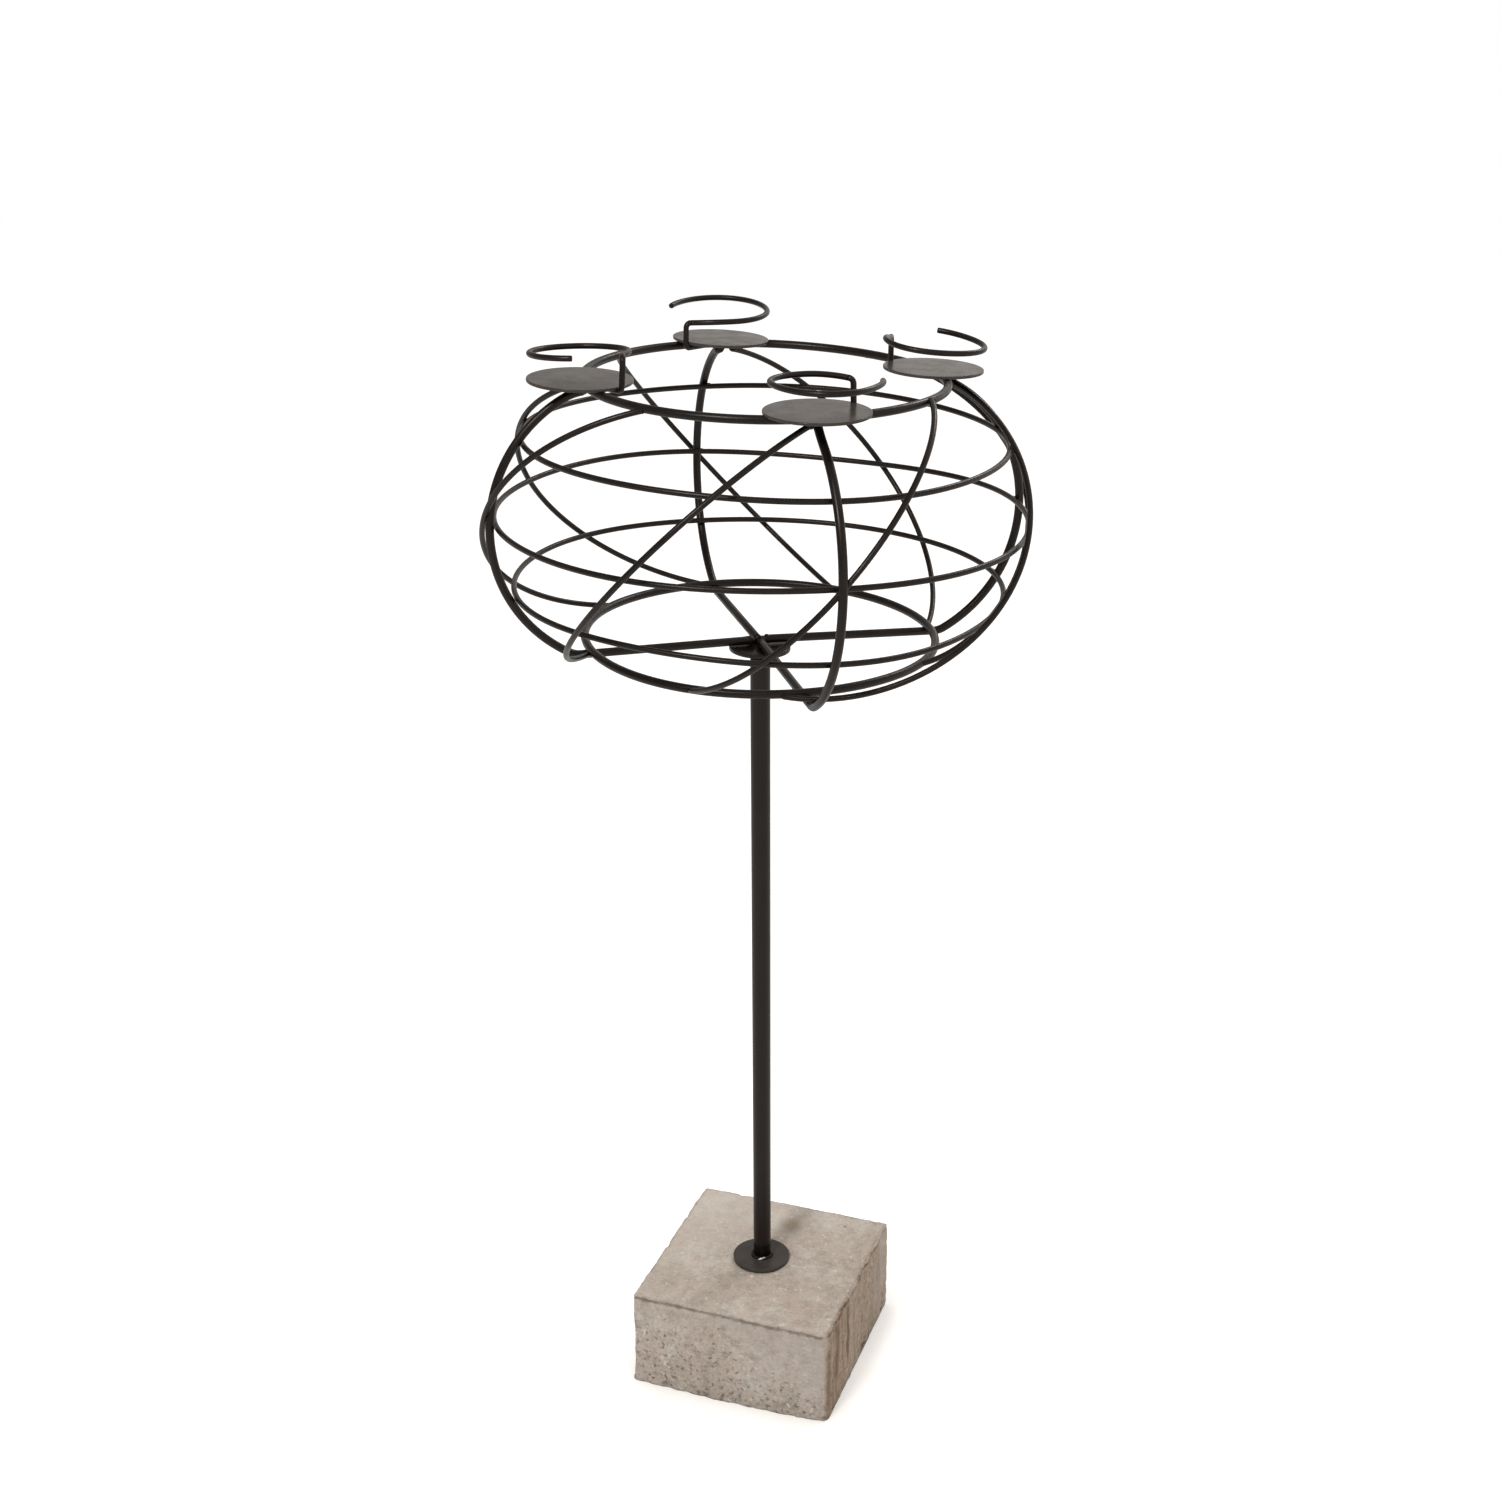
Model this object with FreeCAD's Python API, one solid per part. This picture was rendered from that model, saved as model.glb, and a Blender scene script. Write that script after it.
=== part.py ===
import FreeCAD, Part
import os
from math import atan2, ceil, cos, degrees, pi, radians, sin, sqrt, tan

# Candle stand: a concrete paving block, a tube pole and a welded wire basket
# with four candle plates. Millimetres and degrees. The origin is the middle
# of the block's underside, +Z is up, X and Y follow the sides of the block.

# Block
block_width = 200.0
block_depth = 197.0
block_height = 99.0
block_edge_bevel = 2.5

# Hidden fixing in the block
sleeve_diameter = 14.0
sleeve_length = 50.0
sleeve_hole_depth = 60.0
stud_diameter = 8.0
stud_length = 44.0

# Pole, flange and hub
disc_diameter = 55.0
disc_thickness = 4.0
pole_diameter = 16.0
pole_wall = 1.5
pole_length = 646.0
bead_leg = 4.0

# Basket, measured from the top of the hub disc
rod_diameter = 7.5
wire_diameter = 5.0
rod_sides = 8
bend_step = 11.25
wire_bend_step = 15.0
basket_turn = 34.8
basket_lean = 1.77
lean_direction = 20.0
ring_radius = 155.2
top_ring_height = 239.0
rib_belly_reach = 237.2
rib_belly_share = 0.489
rib_bend_radius = 20.0
rib_foot_reach = 8.0
rib_end_out = 1.3
rib_end_drop = 3.8
hoop_height_shares = {"upper_hoop": 0.785, "middle_hoop": 0.509, "lower_hoop": 0.237}

# Slanting wires: where each starts at the top ring, how far round it goes and
# how far its middle lags behind half of that. A wire that crosses a rib runs
# outside it. The others lie further in, by shares of the wire's thickness.
slant_end_out = 3.0
slant_end_drop = 2.4
slant_middle_share = 0.504
slanting_wires = [
    (-4.8, 88.3, 8.5),
    (39.0, 74.9, -5.7),
    (86.8, 85.1, 1.9),
    (130.6, 81.9, 1.3),
    (174.8, 80.4, 4.5),
    (216.6, 80.9, 2.6),
    (268.5, 82.4, 0.3),
    (313.0, 79.2, -4.1),
]
slant_inset_shares = [1.05, 0.0, 0.9, 0.1, 1.1, 0.0, 0.15, 0.0]

# Candle plates, each standing on the top ring near the end of a rib
plate_diameter = 87.5
plate_thickness = 2.0
stations = {"right": 0.0, "back": 90.0, "left": 180.0, "front": 270.0}
rib_turn = {"right": -1.5, "back": 0.0, "left": -1.4, "front": -0.2}
plate_turn = {"right": -2.3, "back": -0.5, "left": 2.3, "front": -0.2}
plate_out = {"right": -6.0, "back": 2.7, "left": 4.2, "front": 4.0}

# Candle holders, each set out from the middle of its plate. Turns are
# measured from straight outwards, and the rises are slopes of the open ring.
leg_gap = 0.3
foot_length = 27.0
holder_bend_radius = 5.0
lead_in_angle = 14.0
leg_turn = {"right": 125.0, "back": 122.5, "left": 125.5, "front": 126.0}
holder_radius = {"right": 42.4, "back": 43.7, "left": 41.2, "front": 42.9}
holder_height = {"right": 24.5, "back": 26.4, "left": 23.9, "front": 24.1}
holder_shift = {"right": 0.1, "back": 3.3, "left": 0.0, "front": 4.0}
outwards_angle = {"right": -1.9, "back": 4.9, "left": -1.1, "front": 2.2}
across_angle = {"right": 3.1, "back": -2.1, "left": 3.8, "front": 0.8}
holder_end_angle = {"right": 66.0, "back": 52.0, "left": 64.0, "front": 90.0}

up = FreeCAD.Vector(0, 0, 1)
top_of_block = FreeCAD.Vector(0, 0, block_height)
top_of_flange = top_of_block + up * disc_thickness
pole_top = top_of_flange + up * pole_length
rod_radius = rod_diameter / 2
wire_radius = wire_diameter / 2
bottom_ring_height = 3 * rod_radius
plate_base = top_ring_height + rod_radius

# The big arc of a rib is widest at its belly and ends at the top ring
rib_end_reach = ring_radius + rib_end_out
rib_end_height = top_ring_height - rib_end_drop
rib_arc_height = rib_belly_share * top_ring_height
rib_end_inset = rib_belly_reach - rib_end_reach
rib_end_rise = rib_end_height - rib_arc_height
rib_arc_radius = (rib_end_inset ** 2 + rib_end_rise ** 2) / (2 * rib_end_inset)
rib_arc_reach = rib_belly_reach - rib_arc_radius


def place(radius, azimuth, height):
    turn = radians(azimuth)
    return FreeCAD.Vector(radius * cos(turn), radius * sin(turn), height)


# Turning and leaning the basket about the middle of the hub disc
lean_axis = place(1, lean_direction + 90, 0)
basket_pose = (
    FreeCAD.Placement(pole_top, FreeCAD.Rotation(lean_axis, basket_lean))
    * FreeCAD.Placement(up * disc_thickness, FreeCAD.Rotation(up, basket_turn))
)


def in_basket(shape):
    moved = shape.copy()
    moved.Placement = basket_pose.multiply(moved.Placement)
    return moved


def export(name, shape):
    os.makedirs("parts", exist_ok=True)
    shape.exportStep("parts/" + name + ".step")


def arc(start, middle, end):
    return Part.Arc(start, middle, end).toShape()


def rod_through(places, diameter):
    # A rod of eight flats, mitred at each place. The flats lie on the rod's
    # true diameter, so that a flat of one rod beds on a flat of the next.
    heading = (places[1] - places[0]).normalize()
    aside = heading.cross(up)
    if aside.Length < sin(radians(bend_step)):
        aside = heading.cross(places[-1] - places[0])
    aside.normalize()
    upwards = aside.cross(heading)
    corner_reach = diameter / 2 / cos(pi / rod_sides)
    corners = []
    for side in range(rod_sides + 1):
        turn = 2 * pi * (side + 0.5) / rod_sides
        corners.append(places[0] + (aside * cos(turn) + upwards * sin(turn)) * corner_reach)
    right_corners = 1
    path = Part.makePolygon(places)
    return path.makePipeShell([Part.makePolygon(corners)], True, False, right_corners)


def rod_along(edges, diameter, step):
    # The same rod, following straight lengths and arcs in short steps.
    places = [edges[0].valueAt(edges[0].FirstParameter)]
    for edge in edges:
        turning = edge.tangentAt(edge.FirstParameter).getAngle(edge.tangentAt(edge.LastParameter))
        if edge.Curve.TypeId == "Part::GeomCircle":
            turning = edge.Length / edge.Curve.Radius
        steps = max(1, ceil(degrees(turning) / step))
        places += edge.discretize(steps + 1)[1:]
    return rod_through(places, diameter)


def disc(thickness, base):
    return Part.makeCylinder(disc_diameter / 2, thickness, base)


def weld_bead(base, direction):
    # A ring of weld round the pole, laid in the corner with a flat disc.
    inner = pole_diameter / 2
    face = Part.Face(Part.makePolygon([
        FreeCAD.Vector(inner, 0, 0),
        FreeCAD.Vector(inner + bead_leg, 0, 0),
        FreeCAD.Vector(inner, 0, bead_leg),
        FreeCAD.Vector(inner, 0, 0),
    ]))
    bead = face.revolve(FreeCAD.Vector(), up, 360)
    bead.Placement = FreeCAD.Placement(base, FreeCAD.Rotation(up, direction))
    return bead


# Paving block with its blind hole
block = Part.makeBox(block_width, block_depth, block_height,
                     FreeCAD.Vector(-block_width / 2, -block_depth / 2, 0))
worn_edges = [edge for edge in block.Edges if edge.CenterOfMass.z > 0]
block = block.makeChamfer(block_edge_bevel, worn_edges)
hole = Part.makeCylinder(sleeve_diameter / 2, sleeve_hole_depth,
                         top_of_block - up * sleeve_hole_depth)
export("concrete_block", block.cut(hole))

sleeve_foot = top_of_block - up * sleeve_length
sleeve = Part.makeCylinder(sleeve_diameter / 2, sleeve_length, sleeve_foot)
bore = Part.makeCylinder(stud_diameter / 2, sleeve_length, sleeve_foot)
export("threaded_sleeve", sleeve.cut(bore))

# Stud held in the middle of the base flange
stud = Part.makeCylinder(stud_diameter / 2, stud_length, top_of_flange - up * stud_length)
export("foot_stud", stud)
export("base_flange", disc(disc_thickness, top_of_block).cut(stud))

# Pole with its top cut to the lean of the basket
over_length = pole_diameter
tube = Part.makeCylinder(pole_diameter / 2, pole_length + over_length, top_of_flange)
core = Part.makeCylinder(pole_diameter / 2 - pole_wall, pole_length + over_length, top_of_flange)
above_hub = in_basket(disc(2 * over_length, -up * disc_thickness))
export("pole", tube.cut(core).cut(above_hub))

export("hub_disc", in_basket(disc(disc_thickness, -up * disc_thickness)))
export("pole_foot_weld", weld_bead(top_of_flange, up))
hub_bead = in_basket(weld_bead(-up * disc_thickness, -up))
export("hub_weld", hub_bead.cut(tube))


# Rings and hoops, each a closed rod
def ring(radius, height, diameter):
    steps = int(360 / bend_step)
    corners = [place(radius, step * bend_step, height) for step in range(steps)]
    seam = (corners[0] + corners[-1]) / 2
    return in_basket(rod_through([seam, *corners, seam], diameter))


def hoop_radius(height):
    inside = rib_arc_radius - rod_radius - wire_radius
    return rib_arc_reach + sqrt(inside ** 2 - (height - rib_arc_height) ** 2)


top_ring = ring(ring_radius, top_ring_height, rod_diameter)
bottom_ring = ring(ring_radius, bottom_ring_height, rod_diameter)
export("top_ring", top_ring)
export("bottom_ring", bottom_ring)


def rib(azimuth):
    # Strut on the hub disc and under the bottom ring, one bend, then the big
    # arc up to the top ring, where the end is coped round the ring.
    rise = rod_radius + rib_bend_radius - rib_arc_height
    reach = sqrt((rib_arc_radius - rib_bend_radius) ** 2 - rise ** 2)
    foot_angle = degrees(atan2(rise, reach))
    top_angle = degrees(atan2(rib_end_rise, rib_end_reach - rib_arc_reach))

    def on_arc(angle):
        return place(rib_arc_reach + rib_arc_radius * cos(radians(angle)), azimuth,
                     rib_arc_height + rib_arc_radius * sin(radians(angle)))

    def on_bend(angle):
        return place(rib_arc_reach + reach + rib_bend_radius * cos(radians(angle)), azimuth,
                     rod_radius + rib_bend_radius + rib_bend_radius * sin(radians(angle)))

    edges = [
        Part.makeLine(place(rib_foot_reach, azimuth, rod_radius), on_bend(-90)),
        arc(on_bend(-90), on_bend((foot_angle - 90) / 2), on_bend(foot_angle)),
        arc(on_arc(foot_angle), on_arc((foot_angle + top_angle) / 2), on_arc(top_angle)),
    ]
    return in_basket(rod_along(edges, rod_diameter, bend_step)).cut(top_ring)


ribs = {name: rib(azimuth + rib_turn[name]) for name, azimuth in stations.items()}
for name, shape in ribs.items():
    export("rib_" + name, shape)


# A thin wire is seated into the rods and hoops that it touches
heavy_rods = [top_ring, bottom_ring, *ribs.values()]
hoops = []
for name, share in hoop_height_shares.items():
    height = share * top_ring_height
    hoop = ring(hoop_radius(height), height, wire_diameter).cut(heavy_rods)
    hoops.append(hoop)
    export(name, hoop)


def slanting_wire(start, turn, lag, inset_share):
    end_reach = ring_radius + slant_end_out
    outside_ribs = rib_belly_reach + rod_radius + wire_radius
    top = place(end_reach, start, top_ring_height - slant_end_drop)
    middle = place(outside_ribs - inset_share * wire_diameter, start - turn / 2 + lag,
                   slant_middle_share * top_ring_height)
    foot = place(end_reach, start - turn, bottom_ring_height - slant_end_drop)
    return in_basket(rod_along([arc(top, middle, foot)], wire_diameter, wire_bend_step))


for number, layout in enumerate(slanting_wires, 1):
    wire = slanting_wire(*layout, slant_inset_shares[number - 1])
    export("slanting_wire_" + str(number), wire.cut([*heavy_rods, *hoops]))


def bent(before, corner, after):
    # The two ends and the middle of a bend at the corner of a wire.
    back = (before - corner).normalize()
    ahead = (after - corner).normalize()
    half = back.getAngle(ahead) / 2
    inset = holder_bend_radius / tan(half)
    centre = corner + (back + ahead).normalize() * (holder_bend_radius / sin(half))
    middle = centre + (corner - centre).normalize() * holder_bend_radius
    return corner + back * inset, middle, corner + ahead * inset


def candle_holder(name):
    # One bent wire, drawn with outwards on +X and the plate's middle as
    # origin: a foot under the plate, a leg past its rim, an open ring above.
    radius = holder_radius[name]
    slope_x = tan(radians(outwards_angle[name]))
    slope_y = tan(radians(across_angle[name]))

    def on_ring(angle):
        flat = place(radius, angle, holder_height[name])
        return flat + FreeCAD.Vector(0, holder_shift[name], slope_x * flat.x + slope_y * flat.y)

    leg_reach = plate_diameter / 2 + leg_gap + wire_radius
    ring_start = leg_turn[name] + lead_in_angle
    ring_end = holder_end_angle[name] + 360
    foot = place(leg_reach - foot_length, leg_turn[name], -wire_radius)
    elbow = place(leg_reach, leg_turn[name], -wire_radius)
    lead = on_ring(ring_start)
    shoulder = place(leg_reach, leg_turn[name], lead.z)
    foot_bend = bent(foot, elbow, shoulder)
    top_bend = bent(elbow, shoulder, lead)
    edges = [
        Part.makeLine(foot, foot_bend[0]),
        arc(*foot_bend),
        Part.makeLine(foot_bend[-1], top_bend[0]),
        arc(*top_bend),
        Part.makeLine(top_bend[-1], lead),
        arc(lead, on_ring((ring_start + ring_end) / 2), on_ring(ring_end)),
    ]
    return rod_along(edges, wire_diameter, wire_bend_step)


for name, azimuth in stations.items():
    turn = azimuth + plate_turn[name]
    plate = Part.makeCylinder(plate_diameter / 2, plate_thickness)
    seat = FreeCAD.Placement(place(ring_radius + plate_out[name], turn, plate_base),
                             FreeCAD.Rotation(up, turn))
    holder = candle_holder(name).cut(plate)
    plate.Placement = seat
    holder.Placement = seat
    export("candle_plate_" + name, in_basket(plate))
    export("candle_holder_" + name, in_basket(holder).cut(top_ring))
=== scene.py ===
from math import acos, atan2, cos, degrees, pi, radians, sin, sqrt, tan

import bmesh
import bpy
from mathutils import Matrix, Vector, noise
from mathutils.kdtree import KDTree


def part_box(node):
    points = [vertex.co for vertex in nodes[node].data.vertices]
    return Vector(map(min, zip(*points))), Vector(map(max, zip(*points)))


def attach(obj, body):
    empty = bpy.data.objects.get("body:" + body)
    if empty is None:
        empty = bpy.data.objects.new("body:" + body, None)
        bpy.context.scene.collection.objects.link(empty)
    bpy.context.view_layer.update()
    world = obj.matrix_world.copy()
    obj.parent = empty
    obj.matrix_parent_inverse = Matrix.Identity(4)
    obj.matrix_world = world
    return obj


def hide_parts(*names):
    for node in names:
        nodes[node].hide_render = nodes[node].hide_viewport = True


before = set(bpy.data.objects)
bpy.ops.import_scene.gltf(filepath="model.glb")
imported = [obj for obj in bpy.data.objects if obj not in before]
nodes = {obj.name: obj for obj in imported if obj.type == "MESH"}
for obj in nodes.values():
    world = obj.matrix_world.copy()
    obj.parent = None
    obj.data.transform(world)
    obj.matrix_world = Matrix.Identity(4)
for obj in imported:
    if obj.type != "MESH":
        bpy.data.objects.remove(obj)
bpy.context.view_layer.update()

# Sizes and places, in millimetres and degrees. The basket's are measured
# from the top of the hub disc, with the first rib at azimuth 0. How far the
# rods, plates and holders stray from even shapes was fitted to the photograph.
mm = 0.001
block_width = 201.8
block_depth = 198.8
block_height = 100.0
seam_height = 97.2
seam_width = 1.6
seam_depth = 0.9
chip_zone = 9
chip_depth = 3.4
flare_height = 26
foot_wear_height = 12
foot_wear_depth = 2.8
block_cuts = 135
on_face = 1e-6

# The knocked-off edge: its radius, how much that varies, and how much it
# grows at the foot and at the top
round_radius = 8.0
round_change = 5.0
round_foot_height = 18
round_foot_growth = 1.5
round_top_height = 84
round_top_reach = 16
round_top_growth = 3.0

# Colours of the marks on the block's top; the brown one is also used for painted shadow of the pole
stain_and_painted_shadow_brown = (0.35, 0.275, 0.200)
shade = (0.20, 0.155, 0.125)
cream = (0.74, 0.69, 0.60)
rose = (0.50, 0.385, 0.32)

# Upright grooves in the block's right side: place along it, half width, depth
# of colour, then from which height to which
grooves = [
    (-93, 4.5, 0.62, 15, 80), (-80, 3.0, 0.50, 50, 97), (-68, 5.0, 0.65, 28, 95),
    (-52, 3.5, 0.50, 20, 90), (-37, 4.5, 0.95, 28, 93), (66, 4.0, 0.60, 48, 92),
    (74, 5.0, 0.80, 22, 78),
]

# Marks on the block's top, some of them painted shadow: place, size, strength and colour
stains_and_painted_shadows = [
    # First: brown patch behind the pole, part stain, part painted pole shadow. Third: painted pole
    # shadow.
    (7, 64, 15, 0.85, stain_and_painted_shadow_brown), (15, 80, 9, 0.35, rose), (-27, -50, 9, 0.22, stain_and_painted_shadow_brown),
    # First: painted shadow of the pole, further to the front left.
    (-35, -74, 9, 0.18, stain_and_painted_shadow_brown), (18, -50, 14, 0.30, rose), (61, 79, 2.4, 0.8, shade),
    (-54, 37, 1.8, 0.45, shade), (-38, 38, 1.4, 0.35, shade), (-1, -32, 2.6, 0.8, cream),
    (6, 38, 3.0, 0.6, cream), (-78, -5, 3.0, 0.4, cream), (33, -60, 2.2, 0.5, cream),
    (-60, -60, 2.4, 0.45, cream), (70, 20, 2.6, 0.4, cream), (-20, 70, 24, 0.30, cream),
]
disc_diameter = 55.0
disc_thickness = 4.0
pole_foot_diameter = 17.2
pole_top_diameter = 18.2
pole_steps = 40
pole_sides = 48
pole_foot_shift = (-1.2, 2.0, 0.8)
pole_top_shift = (1.6, 0.0, 0.0)
flange_shift = (-2.0, 2.0, 0.8)
flange_diameter = 56.4
flange_lean = 1.2
hub_shift = (1.2, 0.0, 0.0)
bead_leg = 3.0
bead_overlap = 0.6
bead_ripples = 15
weld_reach = 1.2
rod_radius = 3.75
wire_radius = 2.5
loop_points = 160

# The softened end of a rod: distance in diameters, share of the radius
rod_end = [(0.0, 0.80), (0.06, 0.93), (0.18, 1.0)]
basket_turn = 34.8
basket_lean = 1.77
lean_direction = 20.0
stations = {"right": 0.0, "back": 90.0, "left": 180.0, "front": 270.0}

# Rings and hoops as bent by hand: radius, height, middle (x, y), tilt (x, y),
# and then waves of radius and of height, each (count, cosine, sine)
rings = {
    "top_ring": (155.2, 238.7, (-0.4, 0.0), (0.1, 0.4),
                 [(2, -0.4, 0.2), (3, 0.3, -0.3), (4, 0.1, -0.2)],
                 [(2, -0.5, -0.6), (3, -0.1, -0.1)]),
    "bottom_ring": (155.3, 10.4, (0.7, -0.8), (0.2, -0.1),
                    [(2, 0.3, 0.5), (3, 0.2, -0.3), (4, 0.0, -0.2)],
                    [(2, 0.0, -0.1), (3, -0.3, 0.2)]),
}
hoops = {
    "upper_hoop": (208.4, 188.3, (0.3, 0.9), (-0.5, 1.5),
                   [(2, 1.0, -0.9), (3, 0.2, 0.0), (4, -0.3, -0.2), (5, 0.8, -0.8)],
                   [(2, 0.8, 1.2), (3, 0.2, -0.3)]),
    "middle_hoop": (230.0, 121.5, (0.4, -1.3), (0.8, -0.2),
                    [(2, 1.1, -1.1), (3, 0.1, -0.9), (4, 0.4, 0.7), (5, -0.3, 1.9)],
                    [(2, 0.3, -1.9), (3, 1.4, 0.0)]),
    "lower_hoop": (213.9, 57.2, (-0.7, 0.0), (-1.9, 1.0),
                   [(2, 1.7, 1.9), (3, 0.8, 2.1), (4, 1.1, -0.2), (5, 0.4, -1.2)],
                   [(2, 0.4, 1.4), (3, 1.1, 0.1)]),
}

# Ribs: azimuth, then radius, reach and height of the big arc, then height of
# the strut at the hub and at the bend, and how far its hub end is off centre
ribs = {
    "right": (-1.1, 127.1, 110.8, 117.4, 5.0, 4.1, 1.5),
    "back": (90.5, 122.8, 113.0, 120.7, 4.0, 4.1, -0.7),
    "left": (181.2, 127.3, 110.9, 117.9, 4.6, 3.1, -1.2),
    "front": (270.1, 123.1, 116.5, 113.6, 4.5, 3.2, 0.5),
}
rib_bend_radius = 20.0
rib_foot_reach = 8.0
rib_end_reach = 157.0
rib_end_height = 234.0
rib_lead_angle = 9
ease_steps = 4

# Slanting wires: azimuth of the top end, turn to the foot, lag of the middle,
# then reach and height of the middle, of the top end and of the foot. Two
# of them also sway, in azimuth and in reach.
slanting_wires = [
    (3.4, 101.1, 5.5, (242.9, 120.3), (158.4, 235.3), (158.6, 9.4), (0.8, -4.7)),
    (39.1, 82.4, 1.9, (247.1, 119.5), (158.4, 235.9), (156.5, 10.9), (2.8, 10.9)),
    (85.8, 83.7, 2.4, (234.6, 120.3), (157.1, 234.0), (160.2, 4.1)),
    (129.7, 81.5, 2.0, (242.9, 120.3), (158.2, 236.7), (158.2, 8.9)),
    (174.6, 80.2, 4.8, (237.0, 120.2), (157.8, 235.9), (158.3, 9.1)),
    (216.4, 80.8, 2.9, (242.9, 120.3), (158.1, 235.9), (158.0, 9.0)),
    (268.5, 81.8, 0.5, (248.3, 120.3), (157.8, 235.0), (158.3, 8.0)),
    (313.1, 79.3, -3.7, (237.1, 121.0), (159.2, 241.0), (157.4, 9.2)),
]

# Candle plates: radius, then shift and tilt from their even places
plates = {
    "right": (43.7, (0.8, 3.3, 0.1), (-0.4, 1.1)),
    "back": (43.9, (1.0, 0.7, 0.0), (1.7, 0.4)),
    "left": (44.6, (0.6, -2.7, 0.2), (-0.8, -0.4)),
    "front": (43.5, (-6.0, 1.5, 0.1), (0.7, 0.4)),
}
plate_thickness = 2.0
plate_sag = 0.5
plate_edge = 0.5
plate_base = 242.6
plate_turn = {"right": -2.3, "back": -0.5, "left": 2.3, "front": -0.2}
plate_reach = {"right": 149.2, "back": 157.9, "left": 159.4, "front": 159.2}

# Candle holders: azimuth, reach and lean of the leg, then radius, height,
# middle, tilt and far end of the open ring, its drop to the leg, and waves
holders = {
    "right": (127.1, 46.2, (-0.4, 0.0), 42.9, 24.7, (-0.5, 2.1), (-3.9, 3.7), 68.7, 5.1,
              [(2, -0.2, 0.7), (3, 0.0, -1.8)]),
    "back": (121.2, 45.3, (-0.3, 0.1), 45.4, 25.8, (9.3, 1.3), (3.9, -1.0), 63.2, 2.9,
             [(2, 0.3, -0.3), (3, 0.3, -0.8)]),
    "left": (122.4, 46.4, (-0.8, 0.2), 41.2, 24.3, (1.8, -0.6), (-0.6, 4.1), 70.0, 0.2,
             [(2, -0.2, 0.1), (3, -0.2, 0.3)]),
    "front": (126.5, 47.7, (-0.4, -1.1), 44.2, 25.6, (3.5, 5.9), (1.7, 0.9), 88.4, 3.3,
              [(2, 0.4, -0.7), (3, 2.0, -1.3)]),
}
foot_rise = {"right": 0.0, "back": 0.0, "left": 1.2, "front": 0.0}
foot_length = 27.0
holder_bend_radius = 4.2
lead_in = 14.0
drop_turn = 50.0
ring_step = 4

# Camera, in metres and degrees
camera_place = Vector((0.5979, -1.6406, 1.3481))
camera_heading = 20.30
camera_dip = 21.73
camera_roll = 0.58
camera_lens = 49.56
sensor_width = 36.0

up = Vector((0, 0, 1))
flange_low, flange_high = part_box("base_flange")
hub_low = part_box("hub_disc")[0]
pole_foot = up * flange_high.z
pole_top = up * (hub_low.z + disc_diameter * mm / 2 * sin(radians(basket_lean)))


def place(radius, azimuth, height):
    turn = radians(azimuth)
    return Vector((radius * cos(turn), radius * sin(turn), height))


# The poses take millimetres and give metres
basket_pose = (
    Matrix.Translation(pole_top)
    @ Matrix.Rotation(radians(basket_lean), 4, place(1, lean_direction + 90, 0))
    @ Matrix.Scale(mm, 4)
    @ Matrix.Translation(up * disc_thickness)
    @ Matrix.Rotation(radians(basket_turn), 4, "Z")
)
seat_poses = {
    name: basket_pose
    @ Matrix.Translation(place(plate_reach[name], azimuth + plate_turn[name], plate_base))
    @ Matrix.Rotation(radians(azimuth + plate_turn[name]), 4, "Z")
    for name, azimuth in stations.items()
}


# Materials
def new_material(name):
    made = bpy.data.materials.new(name)
    made.use_nodes = True
    tree = made.node_tree
    where = tree.nodes.new("ShaderNodeTexCoord").outputs["Object"]
    return made, tree, tree.nodes["Principled BSDF"], where


def add_noise(tree, where, scale, detail=4.0, roughness=0.55, stretch=None):
    if stretch:
        mapping = tree.nodes.new("ShaderNodeMapping")
        mapping.inputs["Scale"].default_value = stretch
        tree.links.new(where, mapping.inputs["Vector"])
        where = mapping.outputs["Vector"]
    node = tree.nodes.new("ShaderNodeTexNoise")
    node.inputs["Scale"].default_value = scale
    node.inputs["Detail"].default_value = detail
    node.inputs["Roughness"].default_value = roughness
    tree.links.new(where, node.inputs["Vector"])
    return node.outputs["Fac"]


def add_ramp(tree, factor, stops):
    node = tree.nodes.new("ShaderNodeValToRGB")
    ramp = node.color_ramp
    while len(ramp.elements) < len(stops):
        ramp.elements.new(0.5)
    for element, (position, colour) in zip(ramp.elements, stops):
        element.position = position
        element.color = (*colour, 1) if isinstance(colour, tuple) else (colour,) * 3 + (1,)
    tree.links.new(factor, node.inputs["Fac"])
    return node.outputs["Color"]


def add_range(tree, factor, low, high, new_low, new_high):
    node = tree.nodes.new("ShaderNodeMapRange")
    for socket, value in zip(("From Min", "From Max", "To Min", "To Max"),
                             (low, high, new_low, new_high)):
        node.inputs[socket].default_value = value
    tree.links.new(factor, node.inputs["Value"])
    return node.outputs["Result"]


def add_mix(tree, kind, factor, first, second):
    node = tree.nodes.new("ShaderNodeMix")
    node.data_type = "RGBA"
    node.blend_type = kind
    for socket, value in ((node.inputs["Factor"], factor), (node.inputs[6], first),
                          (node.inputs[7], second)):
        if isinstance(value, (int, float)):
            socket.default_value = value
        elif isinstance(value, tuple):
            socket.default_value = (*value, 1)
        else:
            tree.links.new(value, socket)
    return node.outputs[2]


def add_sum(tree, operation, first, second):
    node = tree.nodes.new("ShaderNodeMath")
    node.operation = operation
    for socket, value in zip(node.inputs, (first, second)):
        if isinstance(value, (int, float)):
            socket.default_value = value
        else:
            tree.links.new(value, socket)
    return node.outputs["Value"]


def add_gap(tree, where, centre):
    node = tree.nodes.new("ShaderNodeVectorMath")
    node.operation = "DISTANCE"
    node.inputs[1].default_value = centre
    tree.links.new(where, node.inputs[0])
    return node.outputs["Value"]


def add_bump(tree, height, strength, distance, below=None):
    node = tree.nodes.new("ShaderNodeBump")
    node.inputs["Strength"].default_value = strength
    node.inputs["Distance"].default_value = distance
    tree.links.new(height, node.inputs["Height"])
    if below:
        tree.links.new(below, node.inputs["Normal"])
    return node.outputs["Normal"]


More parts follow.
